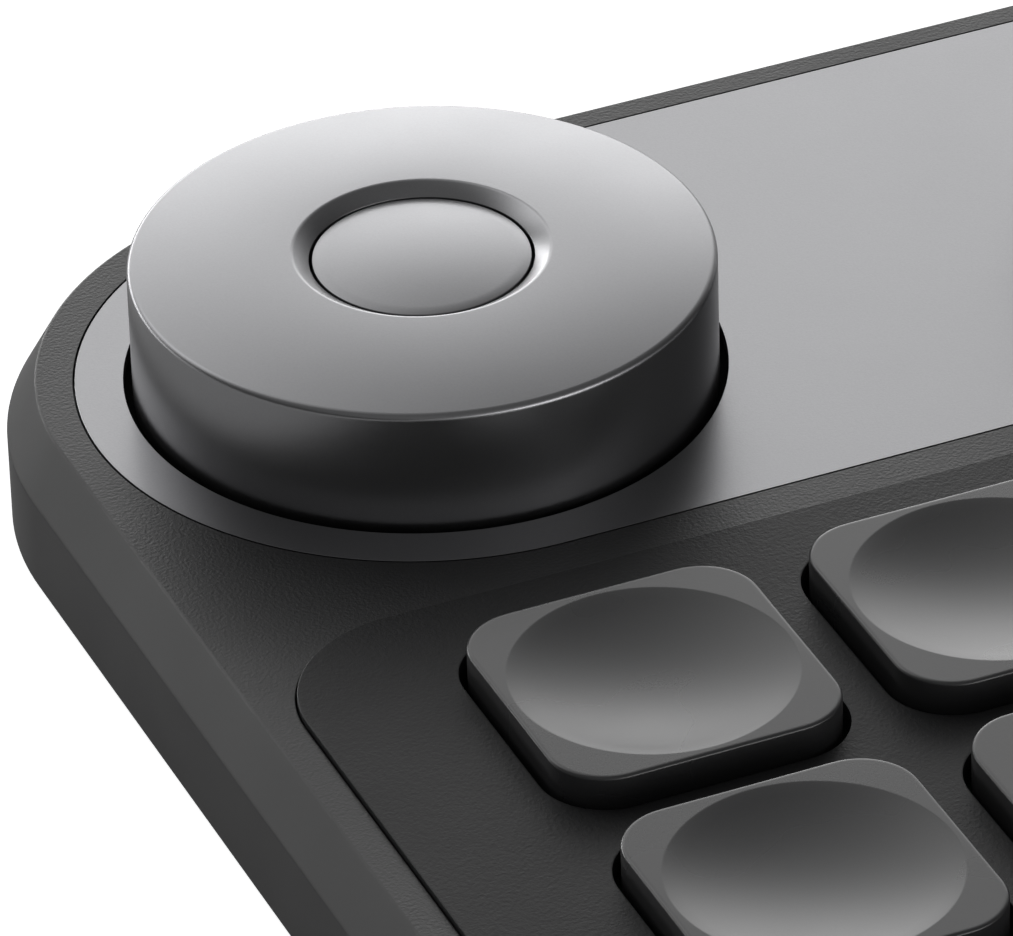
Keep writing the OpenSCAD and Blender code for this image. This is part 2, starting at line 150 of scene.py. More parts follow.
class KeypadShape(bpy.types.PropertyGroup):
    """Sizes of the rounded edges, dishes and gaps."""

    corner_r: length("Case corner", "Radius of the corners of the top face", 19.4)
    taper_w: length("Taper width", "How far the case widens below the top face", 1.65)
    taper_h: length("Taper height", "Height of the taper", 2.95)
    soft_edge: length("Soft edge", "Reach of the rounding between top face and taper", 0.09)
    crisp_edge: length("Crisp edge", "Reach of the rounding between taper and side wall", 0.07)
    rim_edge: length("Rim edge", "Reach of the rounding at the foot of the side wall", 0.1)
    wall: length("Wall", "Thickness of the side wall", 2.2)
    roof: length("Roof", "Thickness of the roof", 2.2)
    seam: length("Seam", "Gap round the plate", 0.12)
    deck_seam: length("Deck seam", "Gap round the deck", 0.08)
    recess_edge: length("Recess edge", "Reach of the rounding round the deck's recess", 0.06)
    ledge: length("Ledge", "Width of the ledge that carries the deck", 1.3)
    deck_back_r: length("Deck back corner", "Radius of the two back corners of the deck", 7.05)
    deck_front_r: length("Deck front corner", "Radius of the two front corners of the deck", 17.5)
    deck_edge: length("Deck edge", "Reach of the rounding of the deck's edge", 0.07)
    well_gap: length("Well gap", "Gap between a key cap and its well", 0.42)
    well_edge: length("Well edge", "Reach of the rounding of a key well's edge", 0.07)
    plate_edge: length("Plate edge", "Reach of the rounding of the plate's edges", 0.008)
    cap_r: length("Cap corner", "Radius of the corners of a key cap", 3.2)
    cap_edge: length("Cap edge", "Reach of the rounding of a key cap's top edge", 0.18)
    cap_wall: length("Cap wall", "Thickness of a key cap's skirt", 1.1)
    cap_h: length("Cap height", "Height of a key cap", 2.6)
    cap_skin: length("Cap skin", "Thickness of a key cap under its dish", 1)
    dish_r: length("Dish radius", "Radius of the dish in a key cap", 7.42)
    dish_depth: length("Dish depth", "Depth of the dish in a key cap", 0.8)
    dish_edge: length("Dish edge", "Reach of the rounding of the dish's edge", 0.05)
    knob_gap: length("Knob gap", "Gap between a knob and the plate", 0.48)
    knob_well: length("Knob well", "How far the well under a knob reaches past the knob", 0.78)
    knob_well_h: length("Knob well depth", "Depth of the well under a knob", 0.6)
    knob_wall: length("Knob wall", "Thickness of a knob's side wall", 1.8)
    knob_top_t: length("Knob top", "Thickness of a knob's top at its rim", 1.9)
    knob_edge: length("Knob edge", "Reach of the rounding of a knob's top edge", 0.34)
    knob_crown: length("Knob crown", "Rise of a knob's top from its rim to its lip", 0.57)
    lip_r: length("Lip radius", "Radius of the lip round the button", 6.84)
    lip_edge: length("Lip edge", "Reach of the rounding of that lip", 0.12)
    bore_r: length("Bore radius", "Radius of the bore that holds the button", 5.97)
    bore_edge: length("Bore edge", "Reach of the rounding of that bore's edge", 0.02)
    button_dome: length("Button dome", "Rise of the button's dome", 0.3)
    button_edge: length("Button edge", "Reach of the rounding of the button's edge", 0.04)
    hub_r: length("Hub radius", "Radius of the hub under a key cap", 2.6)
    peg_r: length("Peg radius", "Radius of the bore in that hub", 1.5)
    shaft_hole_r: length("Shaft hole", "Radius of the hole in the roof under a knob", 6)
    boss_r: length("Boss radius", "Radius of a screw boss", 2.4)
    pilot_r: length("Pilot hole", "Radius of the hole for a screw's thread", 1.05)
    rib_t: length("Rib", "Thickness of the ribs inside the case", 1.2)
    roof_rib_l: length("Roof rib length", "Length of the two ribs under the roof", 18)
    roof_rib_x: length("Roof rib place", "Distance of those ribs from the middle", 6)
    cover_t: length("Cover", "Thickness of the bottom cover", 1.2)
    cover_gap: length("Cover gap", "Gap between the cover and the side wall", 0.15)
    cover_edge: length("Cover edge", "Reach of the rounding of the cover's edge", 0.15)
    post_r: length("Post radius", "Radius of the posts that carry the board", 1.8)
    foot_w: length("Foot width", "Width of a foot strip", 5.5)
    foot_edge: length("Foot edge", "Reach of the rounding of a foot strip's edge", 0.45)
    foot_sink: length("Foot sink", "Depth of a foot strip's recess in the cover", 0.4)
    foot_gap: length("Foot gap", "Gap round a foot strip in its recess", 0.1)


class KeypadFinish(bpy.types.PropertyGroup):
    """Colours of the materials."""

    case: colour("Case", "Moulded plastic of the case", "#1c1c1d")
    deck: colour("Deck", "Moulded plastic of the key deck", "#212122")
    plate: colour("Plate", "Anodised aluminium of the inlaid plate", "#9a9a9c")
    knob: colour("Knob", "Anodised aluminium of the knobs", "#98989a")
    cap: colour("Caps", "Plastic of the key caps", "#363637")
    cover: colour("Cover", "Plastic of the bottom cover", "#242425")
    rubber: colour("Feet", "Rubber of the foot strips", "#191919")
    steel: colour("Steel", "Plated steel of the screws and the inlet", "#a7a8aa")
    board: colour("Board", "Solder mask of the circuit board", "#1c2b1f")


class KeypadStage(bpy.types.PropertyGroup):
    """Camera, light and floor."""

    azimuth: angle("Azimuth", "Turn of the camera round the keypad", -22.52)
    elevation: angle("Elevation", "Height of the camera over the horizon", 33.12)
    roll: angle("Roll", "Turn of the camera about its own axis", -1.79)
    distance: length("Distance", "Distance of the camera from the left knob", 513.8)
    aside: length("Aside", "How far the camera stands to the right of its line to the knob", 4.2806)
    below: length("Below", "How far the camera stands below that line", 5.4104)
    lens: number("Lens", "Focal length in millimetres on a 36 mm sensor", 344.05, 1, 5000)
    light: number("Light", "Strength of the studio's light", 1.03)
    ambient: number("Ambient", "Plain light between the panels, as a radiance", 0.025)
    floor_half: length("Floor", "Half the width of the floor", 6000)
    floor_lift: number("Floor lift", "Extra light of the floor, so that it shows white", 0.9)
    floor_gloss: number("Floor gloss", "Share of that light that polished surfaces see", 0.05)


# ---- Small modelling tools ----


def rounded_ring(bm, w, d, r, place, front_r=None, steps=CASE_STEPS):
    """Edges round a rounded rectangle, flat on the place matrix, with r at its back corners."""
    front_r = r if front_r is None else front_r
    older = set(bm.faces)
    square = bmesh.ops.create_grid(bm, x_segments=1, y_segments=1, size=0.5)["verts"]
    bmesh.ops.scale(bm, vec=(w, d, 1), verts=square)
    back = [v for v in square if v.co.y > 0]
    front = [v for v in square if v.co.y < 0]
    for corners, radius in ((back, r), (front, front_r)):
        bmesh.ops.bevel(
            bm, geom=corners, offset=radius, offset_type="OFFSET", segments=steps, profile=0.5,
            affect="VERTICES", clamp_overlap=False, material=-1)
    face = next(f for f in bm.faces if f not in older)
    verts = list(face.verts)
    bmesh.ops.delete(bm, geom=[face], context="FACES_ONLY")
    if r + front_r > d - NEAR:
        bmesh.ops.remove_doubles(bm, verts=verts, dist=WELD)
        verts = [v for v in verts if v.is_valid]
    bmesh.ops.transform(bm, matrix=place, verts=verts)
    return edges_of(verts)


def pill_ring(bm, w, d, place, steps=16):
    """Edges round a pill, a hair short of half circles so that its corners don't cross."""
    return rounded_ring(bm, w, d, d / 2 - size(0.001), place, steps=steps)


def edges_of(verts):
    """The edges at some vertices, each once and in order."""
    return list(dict.fromkeys(e for v in verts for e in v.link_edges))


def flat(z, x=0.0, y=0.0):
    """A place at a level."""
    return Matrix.Translation((x, y, z))


def upright(y, z):
    """A place in an upright plane that faces back."""
    return Matrix.Translation((0, y, z)) @ Matrix.Rotation(pi / 2, 4, "X")


def round_ring(bm, r, z, x=0.0, y=0.0, steps=TURN_STEPS):
    """Edges round a circle."""
    made = bmesh.ops.create_circle(
        bm, cap_ends=False, radius=r, segments=steps, matrix=flat(z, x, y))
    return edges_of(made["verts"])


def skin(bm, *rings, away=UP):
    """Faces from each ring to the next, held away meanwhile so that both turn the same way."""
    for one, other in zip(rings, rings[1:]):
        verts = list(dict.fromkeys(v for e in other for v in e.verts))
        bmesh.ops.translate(bm, vec=away, verts=verts)
        bmesh.ops.bridge_loops(bm, edges=one + other)
        bmesh.ops.translate(bm, vec=-away, verts=verts)


def fill(bm, rings, normal=UP):
    """One flat face with holes, between an outer ring and the rings in it."""
    edges = [e for ring in rings for e in ring]
    bmesh.ops.triangle_fill(bm, use_beauty=True, use_dissolve=False, edges=edges, normal=normal)


def soften(bm, ring, reach, steps):
    """Rounds the edges of a ring."""
    bmesh.ops.bevel(
        bm, geom=ring, offset=reach, offset_type="OFFSET", segments=steps, profile=0.5,
        affect="EDGES", clamp_overlap=False, material=-1)


def chain(bm, points):
    """Joins the points of a section with edges, each point a radius and a level."""
    verts = [bm.verts.new((r, 0, z)) for r, z in points]
    for pair in zip(verts, verts[1:]):
        bm.edges.new(pair)
    return verts


def arc(bm, low, ball_r, opening, steps):
    """Edges along an arc that starts on the axis at a level and turns about a ball's middle."""
    start = bm.verts.new((0, 0, low))
    bmesh.ops.spin(
        bm, geom=[start], cent=(0, 0, low + ball_r), axis=(0, 1, 0),
        angle=-opening if ball_r > 0 else opening, steps=steps, use_merge=False,
        use_duplicate=False)


def turn(bm, x, y, steps=TURN_STEPS):
    """Spins everything in the mesh round the axis, closes its pole and moves it into place."""
    bmesh.ops.spin(
        bm, geom=bm.verts[:] + bm.edges[:], cent=(0, 0, 0), axis=(0, 0, 1), angle=2 * pi,
        steps=steps, use_merge=True, use_duplicate=False)
    bmesh.ops.remove_doubles(bm, verts=bm.verts, dist=WELD)
    bmesh.ops.translate(bm, vec=(x, y, 0), verts=bm.verts)


def ring_at(bm, r, z, x, y):
    """The edges of a turned piece that go round at a radius and a level."""

    def on_ring(v):
        return abs(hypot(v.co.x - x, v.co.y - y) - r) < NEAR and abs(v.co.z - z) < NEAR

    return [e for e in bm.edges if on_ring(e.verts[0]) and on_ring(e.verts[1])]


def block(bm, sizes, place, edge, turned=0.0):
    """A box with softened edges, turned about the vertical."""
    turned_way = Matrix.Translation(place) @ Matrix.Rotation(turned, 4, "Z")
    matrix = turned_way @ Matrix.Diagonal((*sizes, 1))
    verts = bmesh.ops.create_cube(bm, size=1, matrix=matrix)["verts"]
    soften(bm, edges_of(verts), edge, 2)


def cross_ring(bm, span, arm, place):
    """Edges round a cross with four equal arms."""
    far, near = span / 2, arm / 2
    quarter = [(far, -near), (far, near), (near, near)]
    points = []
    for n in range(4):
        c, q = round(cos(n * pi / 2)), round(sin(n * pi / 2))
        points += [(c * x - q * y, q * x + c * y) for x, y in quarter]
    verts = [bm.verts.new(place @ Vector((x, y, 0))) for x, y in points]
    return [bm.edges.new(pair) for pair in zip(verts, verts[1:] + verts[:1])]


def join(bm, other):
    """Adds another bmesh to this one, and frees it."""
    mesh = bpy.data.meshes.new("part")
    other.to_mesh(mesh)
    other.free()
    bm.from_mesh(mesh)
    bpy.data.meshes.remove(mesh)


def piece(bm, name, body, finishes, slot, *stood_for):
    """Turns a bmesh into a piece that rides on a body and stands for CAD nodes.

    Its finishes are names of materials, with a space between them.
    """
    bmesh.ops.dissolve_degenerate(bm, dist=size(0.0002), edges=bm.edges)
    bmesh.ops.recalc_face_normals(bm, faces=bm.faces)
    mesh = bpy.data.meshes.new(name)
    bm.to_mesh(mesh)
    bm.free()
    mesh.shade_smooth()
    mesh.set_sharp_from_angle(angle=CREASE)
    for finish in finishes.split():
        mesh.materials.append(material(finish))
    obj = bpy.data.objects.new(name, mesh)
    bpy.context.scene.collection.objects.link(obj)
    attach(obj, body)
    if stood_for:
        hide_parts(*stood_for)


# ---- Materials ----


def add(tree, kind, **given):
    """Adds a shader node with its settings, and sets or links its inputs.

    A word in small letters is a setting. An input has its name, or a number as in _0, and is a
    value, a socket, or a node, which stands for its first output.
    """
    made = tree.nodes.new("ShaderNode" + kind)
    for name, value in given.items():
        if name[0].islower():
            setattr(made, name, value)
            continue
        socket = made.inputs[int(name[1:]) if name[0] == "_" else name.replace("_", " ")]
        if isinstance(value, bpy.types.Node):
            value = value.outputs[0]
        if isinstance(value, bpy.types.NodeSocket):
            tree.links.new(value, socket)
        else:
            socket.default_value = value
    return made


def blank(name):
    """A new material and its node tree, with nothing in it."""
    made = bpy.data.materials.new(name)
    made.use_nodes = True
    made.node_tree.nodes.clear()
    return made, made.node_tree


def shade(rgb, amount):
    """A colour made lighter or darker, with alpha."""
    return (*[min(1.0, c * amount) for c in rgb], 1.0)


def two_tone(tree, factor, rgb, spread_by):
    """A colour that varies a little either side of rgb."""
    ramp = add(tree, "ValToRGB", Fac=factor)
    dark, pale = ramp.color_ramp.elements
    dark.position, dark.color = 0.3, shade(rgb, 1 - spread_by)
    pale.position, pale.color = 0.7, shade(rgb, 1 + spread_by)
    return ramp


def cloudy(tree, place, width, detail, value, swing):
    """A value that drifts by a swing either way in clouds of a width."""
    cloud = add(tree, "TexNoise", Vector=place, Scale=1 / width, Detail=detail)
    return add(
        tree, "MapRange", Value=cloud, From_Min=0.3, From_Max=0.7, To_Min=value - swing,
        To_Max=value + swing)


def moulded(name, rgb, roughness, grain, relief, specular=0.5, tops_only=False):
    """Moulded plastic. Its mould's texture is a grain of that width and relief, in metres."""
    made, tree = blank(name)
    place = add(tree, "TexCoord").outputs["Object"]
    height = coarse = add(
        tree, "TexNoise", Vector=place, Scale=1 / grain, Detail=2.0, Roughness=0.55)
    if tops_only:
        # The grain starts where a face is within about 17 degrees of level, and is full at 4
        normal = add(tree, "NewGeometry").outputs["Normal"]
        facing = add(tree, "SeparateXYZ", Vector=normal).outputs["Z"]
        mask = add(
            tree, "MapRange", interpolation_type="SMOOTHSTEP", Value=facing, From_Min=0.955,
            From_Max=0.997, To_Min=0.0, To_Max=1.0)
        height = add(tree, "Math", operation="MULTIPLY", _0=coarse, _1=mask)
    bump = add(tree, "Bump", Strength=1.0, Distance=relief, Height=height)
    skin_shader = add(
        tree, "BsdfPrincipled", Base_Color=two_tone(tree, coarse, rgb, 0.05),
        Roughness=cloudy(tree, place, size(9), 2.0, roughness, 0.02),
        Specular_IOR_Level=specular, Normal=bump)
    add(tree, "OutputMaterial", Surface=skin_shader)
    return made


def matt_metal(name, rgb, roughness, grain, relief):
    """Metal with a fine matt skin, whose pits have that width and depth, in metres."""
    made, tree = blank(name)
    place = add(tree, "TexCoord").outputs["Object"]
    grit = add(tree, "TexNoise", Vector=place, Scale=1 / grain, Detail=3.0, Roughness=0.6)
    bump = add(tree, "Bump", Strength=1.0, Distance=relief, Height=grit)
    skin_shader = add(
        tree, "BsdfPrincipled", Base_Color=two_tone(tree, grit, rgb, 0.03), Metallic=1.0,
        Roughness=cloudy(tree, place, size(6), 3.0, roughness, 0.015), Normal=bump)
    add(tree, "OutputMaterial", Surface=skin_shader)
    return made


def white_ground(name, lift, gloss):
    """Pale matt paper that shows white to the camera, a little in gloss, and takes a shadow."""
    made, tree = blank(name)
    rays = add(tree, "LightPath").outputs
    place = add(tree, "TexCoord").outputs["Object"]
    fibre = add(tree, "TexNoise", Vector=place, Scale=1 / size(25), Detail=2.0)
    paper = add(tree, "BsdfDiffuse", Color=two_tone(tree, fibre, linear("#e8e8e8"), 0.01))
    shine = add(tree, "Math", operation="MULTIPLY", _0=rays["Is Glossy Ray"], _1=gloss)
    seen = add(
        tree, "Math", operation="MAXIMUM", _0=rays["Is Camera Ray"], _1=rays["Is Transmission Ray"])
    seen = add(tree, "Math", operation="MAXIMUM", _0=seen, _1=shine)
    strength = add(tree, "Math", operation="MULTIPLY", _0=seen, _1=lift)
    extra = add(tree, "Emission", Color=(1, 1, 1, 1), Strength=strength)
    both = add(tree, "AddShader", _0=paper, _1=extra)
    add(tree, "OutputMaterial", Surface=both)
    return made


def material(name):
    """One of the keypad's materials, made the first time that it is asked for."""
    made = bpy.data.materials.get(name)
    if made:
        return made
    kind, tint, roughness, grain, relief, *rest = MATERIALS[name]
    rgb = linear(tint) if tint[0] == "#" else getattr(bpy.context.scene.keypad_finish, tint)
    return kind(name, rgb, roughness, size(grain), size(relief), *rest)


# What each material is: its maker, its colour as a name in the finish settings or in sRGB hex,
# its roughness, the width and depth of its grain in millimetres, and for some plastics the
# specular level and whether only its level faces have the grain
MATERIALS = {
    # ABS from a spark-eroded mould: a soft fine grain on the top face, plain satin on the sides
    "moulded_case_abs": (moulded, "case", 0.44, 0.2, 0.028, 0.63, True),
    # Painted shade: near-black, dull paint on the walls and floors of the knob wells, which stands
    # in for the shadow deep in the gap round each knob
    "matt_black_lacquer": (moulded, "#0b0b0b", 0.85, 0.3, 0.01, 0.1),
    # ABS with the case's grain, a shade paler and duller
    "moulded_deck_abs": (moulded, "deck", 0.5, 0.2, 0.03, 0.33, True),
    # PBT caps from a fine-polished mould: an even satin without visible grain
    "satin_cap_pbt": (moulded, "cap", 0.28, 0.12, 0.0015, 0.82),
    # ABS from a coarser mould: a dull, plainly pebbled underside
    "moulded_cover_abs": (moulded, "cover", 0.6, 0.35, 0.02),
    # Moulded rubber: dull, with hardly a highlight
    "foot_rubber": (moulded, "rubber", 0.8, 0.2, 0.02, 0.3),
    # Aluminium sheet, blasted and anodised: a silky even grey. The pits of the blasting, about
    # 0.05 mm wide, are drawn more than twice as wide so that they show at all
    "blasted_plate_aluminium": (matt_metal, "plate", 0.3, 0.13, 0.004),
    # Turned aluminium with the same finish and pits, which carries one long soft gradient
    "blasted_knob_aluminium": (matt_metal, "knob", 0.3, 0.12, 0.003),
    # Nickel on steel: bright, a little cloudy
    "plated_steel": (matt_metal, "steel", 0.3, 0.1, 0.002),
    # Solder mask over glass cloth: dark green satin, faintly uneven over the cloth's weave
    "board_laminate": (moulded, "board", 0.4, 0.4, 0.01),
    # Filled epoxy of the chips: dull black with a sandy skin
    "chip_epoxy": (moulded, "#1a1a1b", 0.55, 0.15, 0.01),
    # Glass-filled nylon of the switches: dark, dull, slightly rough
    "switch_nylon": (moulded, "#232324", 0.5, 0.2, 0.01),
    # Acetal of the stems, and of the plungers: smooth and waxy
    "stem_pom": (moulded, "#7c7c7c", 0.35, 0.2, 0.002),
    "plunger_pom": (moulded, "#cfcfcb", 0.35, 0.2, 0.002),
    # Unfilled nylon of the rotors: a dark grey satin
    "rotor_nylon": (moulded, "#3c3c3e", 0.45, 0.2, 0.005),
    # Rolled spring steel: bright and warm, nearly smooth
    "dome_steel": (matt_metal, "#c3bfb4", 0.25, 0.1, 0.001),
    # Liquid-crystal polymer of the inlet's tongue: black satin
    "inlet_lcp": (moulded, "#1b1b1c", 0.45, 0.1, 0.002),
    # Gold flash on the contacts: yellow and bright
    "gilt_contact": (matt_metal, "#d8b56a", 0.25, 0.05, 0.0005),
}


# ---- Pieces ----


class KEYPAD_OT_case(bpy.types.Operator):
    """Builds the case: side wall, taper, top face with its pockets, and hollow"""

    bl_idname = "keypad.case"
    bl_label = "Case"

    def execute(self, context):
        s = context.scene.keypad_shape
        w, d = spread("top_case")
        rim, top = level("top_case", False), level("top_case")
        roof = top - s.roof
        top_w, top_d = w - 2 * s.taper_w, d - 2 * s.taper_w
        bm = bmesh.new()

        def around(grow, z):
            return rounded_ring(bm, top_w + 2 * grow, top_d + 2 * grow, s.corner_r + grow, flat(z))

        foot = around(s.taper_w, rim)
        ankle = around(s.taper_w, rim + s.rim_edge + RIM_HOLDS[0])
        shoulder = around(s.taper_w, top - s.taper_h)
        slope = [around(share * s.taper_w, top - share * s.taper_h) for share in TAPER_HOLDS]
        brow = around(0, top)
        field = around(-s.soft_edge - HOLD, top)
        sole = around(s.taper_w - RIM_HOLDS[1], rim)
        lip = around(s.taper_w - s.wall, rim)
        ceiling = around(s.taper_w - s.wall, roof)
        skin(bm, field, brow, *slope, shoulder, ankle, foot, sole, lip, ceiling)
        soften(bm, brow, s.soft_edge, 6)
        soften(bm, shoulder, s.crisp_edge, 3)
        soften(bm, foot, s.rim_edge, 4)

        # Pocket of the plate, with a well and a hole for each knob
        plate_low = level("inlay_plate", False)
        pocket = [plate_ring(bm, s.seam + grow, z) for grow, z in (
            (s.plate_edge + HOLD, top), (0, top), (0, plate_low))]
        skin(bm, *pocket)
        soften(bm, pocket[1], s.plate_edge, 1)
        wells, holes = [], []
        well_r = spread("left_knob")[0] / 2 + s.knob_well
        well_floor = plate_low - s.knob_well_h
        for side in SIDES:
            x, y = middle(side + "_knob")
            rings = [round_ring(bm, r, z, x, y) for r, z in (
                (well_r, plate_low), (well_r, well_floor), (s.shaft_hole_r, well_floor),
                (s.shaft_hole_r, roof))]
            skin(bm, *rings)
            wells.append(rings[0])
            holes.append(rings[-1])
        fill(bm, [pocket[2], *wells])

        # Pocket of the deck, with the ledge that carries it
        deck_low = level("key_deck", False)
        recess = [deck_ring(bm, s, grow, z) for grow, z in (
            (s.deck_seam + s.recess_edge + HOLD, top), (s.deck_seam, top),
            (s.deck_seam, deck_low), (-s.ledge, deck_low), (-s.ledge, roof))]
        skin(bm, *recess)
        soften(bm, recess[1], s.recess_edge, 4)
        fill(bm, [field, pocket[0], recess[0]])
        fill(bm, [ceiling, recess[-1], *holes], -UP)

        # Slot of the inlet through the back wall
        z = inlet_level()
        slots = []
        for y in (d / 2, d / 2 - s.wall):
            level_with = [f for f in bm.faces if abs(f.calc_center_median().y - y) < NEAR]
            panel = max(level_with, key=lambda f: f.calc_area())
            edges = list(panel.edges)
            bmesh.ops.delete(bm, geom=[panel], context="FACES_ONLY")
            slot = pill_ring(
                bm, INLET_W + 2 * INLET_GAP, INLET_H + 2 * INLET_GAP, upright(y, z))
            fill(bm, [edges, slot], Vector((0, 1, 0)))
            slots.append(slot)
        skin(bm, *slots, away=Vector((0, -1, 0)))
        self.bosses(bm, s, rim + s.cover_t, roof)
        self.roof_ribs(bm, s, roof)

        # The faces in the wells, between the roof's underside and the plate's, take the second
        # material, which paints them with shade
        knob_x, knob_y = middle("right_knob")
        for face in bm.faces:
            p = face.calc_center_median()
            in_well = hypot(abs(p.x) - knob_x, p.y - knob_y) < well_r + NEAR
            face.material_index = int(in_well and roof + NEAR < p.z < plate_low - NEAR)
        piece(
            bm, "case_shell", "case", "moulded_case_abs matt_black_lacquer", "case_plastic",
            "top_case")
        return {"FINISHED"}

    def bosses(self, bm, s, low, roof):
        """Adds a boss with a pilot hole and a rib for each screw, let into the roof."""
        top = roof + size(0.1)
        pilot_end = roof - size(1)
        rib_h = top - low - size(0.6)
        rib_x = 1.5 * s.boss_r - size(0.4)
        for x, y in screw_places():
            rings = [round_ring(bm, r, z, x, y, HOLE_STEPS) for r, z in (
                (s.boss_r, top), (s.boss_r, low), (s.pilot_r, low), (s.pilot_r, pilot_end))]
            skin(bm, *rings)
            fill(bm, [rings[0]])
            fill(bm, [rings[-1]], -UP)
            soften(bm, rings[1] + rings[2], size(0.12), 2)
            outward = Vector((copysign(1, x), copysign(1, y), 0))
            rib = Vector((x, y, top - rib_h / 2)) + outward.normalized() * rib_x
            turned = atan2(outward.y, outward.x)
            block(bm, (s.boss_r, s.rib_t, rib_h), rib, size(0.1), turned)

    def roof_ribs(self, bm, s, roof):
        """Adds the two ribs under the roof between the knobs, let into it."""
        rib_h, rib_z = size(1), roof - size(0.3)
        rib_y = middle("left_knob")[1] - size(3)
        for x in (-s.roof_rib_x, s.roof_rib_x):
            block(bm, (s.rib_t, s.roof_rib_l, rib_h), (x, rib_y, rib_z), size(0.1))


def inlet_level():
    """The level of the middle of the USB-C inlet."""
    return level("circuit_board") - size(0.2)


def screw_places():
    """Where the four screws stand."""
    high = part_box("case_screws")[1]
    x, y = high.x - HEAD_R, high.y - HEAD_R
    return [(sx * x, sy * y) for sx in (-1, 1) for sy in (-1, 1)]


def foot_ring(bm, w, d, grow, place):
    """Edges round a foot strip."""
    return pill_ring(bm, w + 2 * grow, d + 2 * grow, place, steps=20)


def plate_ring(bm, grow, z):
    """Edges round the pill-shaped plate."""
    w, d = spread("inlay_plate")
    place = flat(z, *middle("inlay_plate"))
    return pill_ring(bm, w + 2 * grow, d + 2 * grow, place, steps=2 * CASE_STEPS)


def deck_ring(bm, s, grow, z):
    """Edges round the deck."""
    w, d = spread("key_deck")
    return rounded_ring(
        bm, w + 2 * grow, d + 2 * grow, s.deck_back_r + grow, flat(z, *middle("key_deck")),
        s.deck_front_r + grow)


def square_ring(bm, w, r, grow, place):
    """Edges round a key cap or its well."""
    side = w + 2 * grow
    return rounded_ring(bm, side, side, r + grow, place, steps=CAP_STEPS)


class KEYPAD_OT_plate(bpy.types.Operator):
    """Builds the inlaid plate with its two knob holes"""

    bl_idname = "keypad.plate"
    bl_label = "Inlay plate"

    def execute(self, context):
        s = context.scene.keypad_shape
        low, top = level("inlay_plate", False), level("inlay_plate")
        bm = bmesh.new()
        outer = [plate_ring(bm, grow, z) for grow, z in (
            (-s.plate_edge - HOLD, top), (0, top), (0, low))]
        skin(bm, *outer)
        upper, lower, edges = [outer[0]], [outer[2]], [outer[1]]
        for side in SIDES:
            x, y = middle(side + "_knob")
            r = spread(side + "_knob")[0] / 2 + s.knob_gap
            rings = [round_ring(bm, radius, z, x, y) for radius, z in (
                (r + s.plate_edge + HOLD, top), (r, top), (r, low))]
            skin(bm, *rings)
            upper.append(rings[0])
            edges.append(rings[1])
            lower.append(rings[2])
        fill(bm, upper)
        fill(bm, lower, -UP)
        for ring in edges:
            soften(bm, ring, s.plate_edge, 1)
        piece(
            bm, "plate_sheet", "case", "blasted_plate_aluminium", "plate_aluminium",
            "inlay_plate")
        return {"FINISHED"}


class KEYPAD_OT_deck(bpy.types.Operator):
    """Builds the raised deck with a well for each key"""

    bl_idname = "keypad.deck"
    bl_label = "Key deck"

    def execute(self, context):
        s = context.scene.keypad_shape
        low, top = level("key_deck", False), level("key_deck")
        bm = bmesh.new()
        outer = [deck_ring(bm, s, grow, z) for grow, z in (
            (-s.deck_edge - HOLD, top), (0, top), (0, low))]
        skin(bm, *outer)
        soften(bm, outer[1], s.deck_edge, 4)
        upper, lower = [outer[0]], [outer[2]]
        for key in KEYS:
            w, place = spread("keycap_" + key)[0], middle("keycap_" + key)
            rings = [square_ring(bm, w, s.cap_r, s.well_gap + grow, flat(z, *place))
                     for grow, z in ((s.well_edge + HOLD, top), (0, top), (0, low))]
            skin(bm, *rings)
            soften(bm, rings[1], s.well_edge, 2)
            upper.append(rings[0])
            lower.append(rings[2])
        fill(bm, upper)
        fill(bm, lower, -UP)
        piece(bm, "deck_panel", "case", "moulded_deck_abs", "deck_plastic", "key_deck")
        return {"FINISHED"}


class KEYPAD_OT_caps(bpy.types.Operator):
    """Builds the key caps, each with a round dish, a skirt and a hub"""

    bl_idname = "keypad.caps"
    bl_label = "Key caps"

    def execute(self, context):
        for key in KEYS:
            self.cap(context.scene.keypad_shape, key)
        return {"FINISHED"}

    def cap(self, s, key):
        """Builds one key cap."""
        node = "keycap_" + key
        x, y = middle(node)
        w = spread(node)[0]
        top = level(node)
        skirt = top - s.cap_h
        ceiling = top - s.dish_depth - s.cap_skin
        ball_r = (s.dish_r**2 + s.dish_depth**2) / (2 * s.dish_depth)
        bm = bmesh.new()
        arc(bm, top - s.dish_depth, ball_r, asin(s.dish_r / ball_r), 10)
        turn(bm, x, y, DISH_STEPS)
        dish = ring_at(bm, s.dish_r, top, x, y)
        flange = round_ring(bm, s.dish_r + s.dish_edge + DISH_HOLD, top, x, y, DISH_STEPS)
        skin(bm, dish, flange)
        soften(bm, dish, s.dish_edge, 2)

        skirt_edge = size(0.1)
        rings = [square_ring(bm, w, s.cap_r, grow, flat(z, x, y)) for grow, z in (
            (-s.cap_edge - CAP_HOLD, top), (0, top), (0, skirt), (-3 * skirt_edge, skirt),
            (-s.cap_wall, skirt), (-s.cap_wall, ceiling))]
        skin(bm, *rings)
        fill(bm, [rings[0], flange])
        soften(bm, rings[1], s.cap_edge, 5)
        soften(bm, rings[2], skirt_edge, 2)

        hub_h, hub_edge = size(1), size(0.1)
        hub = [round_ring(bm, r, ceiling - deep, x, y, HOLE_STEPS) for r, deep in (
            (s.hub_r, 0), (s.hub_r, hub_h), (s.peg_r, hub_h), (s.peg_r, hub_edge))]
        skin(bm, *hub)
        fill(bm, [rings[-1], hub[0]], -UP)
        fill(bm, [hub[-1]], -UP)
        soften(bm, hub[1] + hub[2], hub_edge, 2)
        piece(bm, "cap_" + key, "key_" + key, "satin_cap_pbt", "cap_plastic", node)


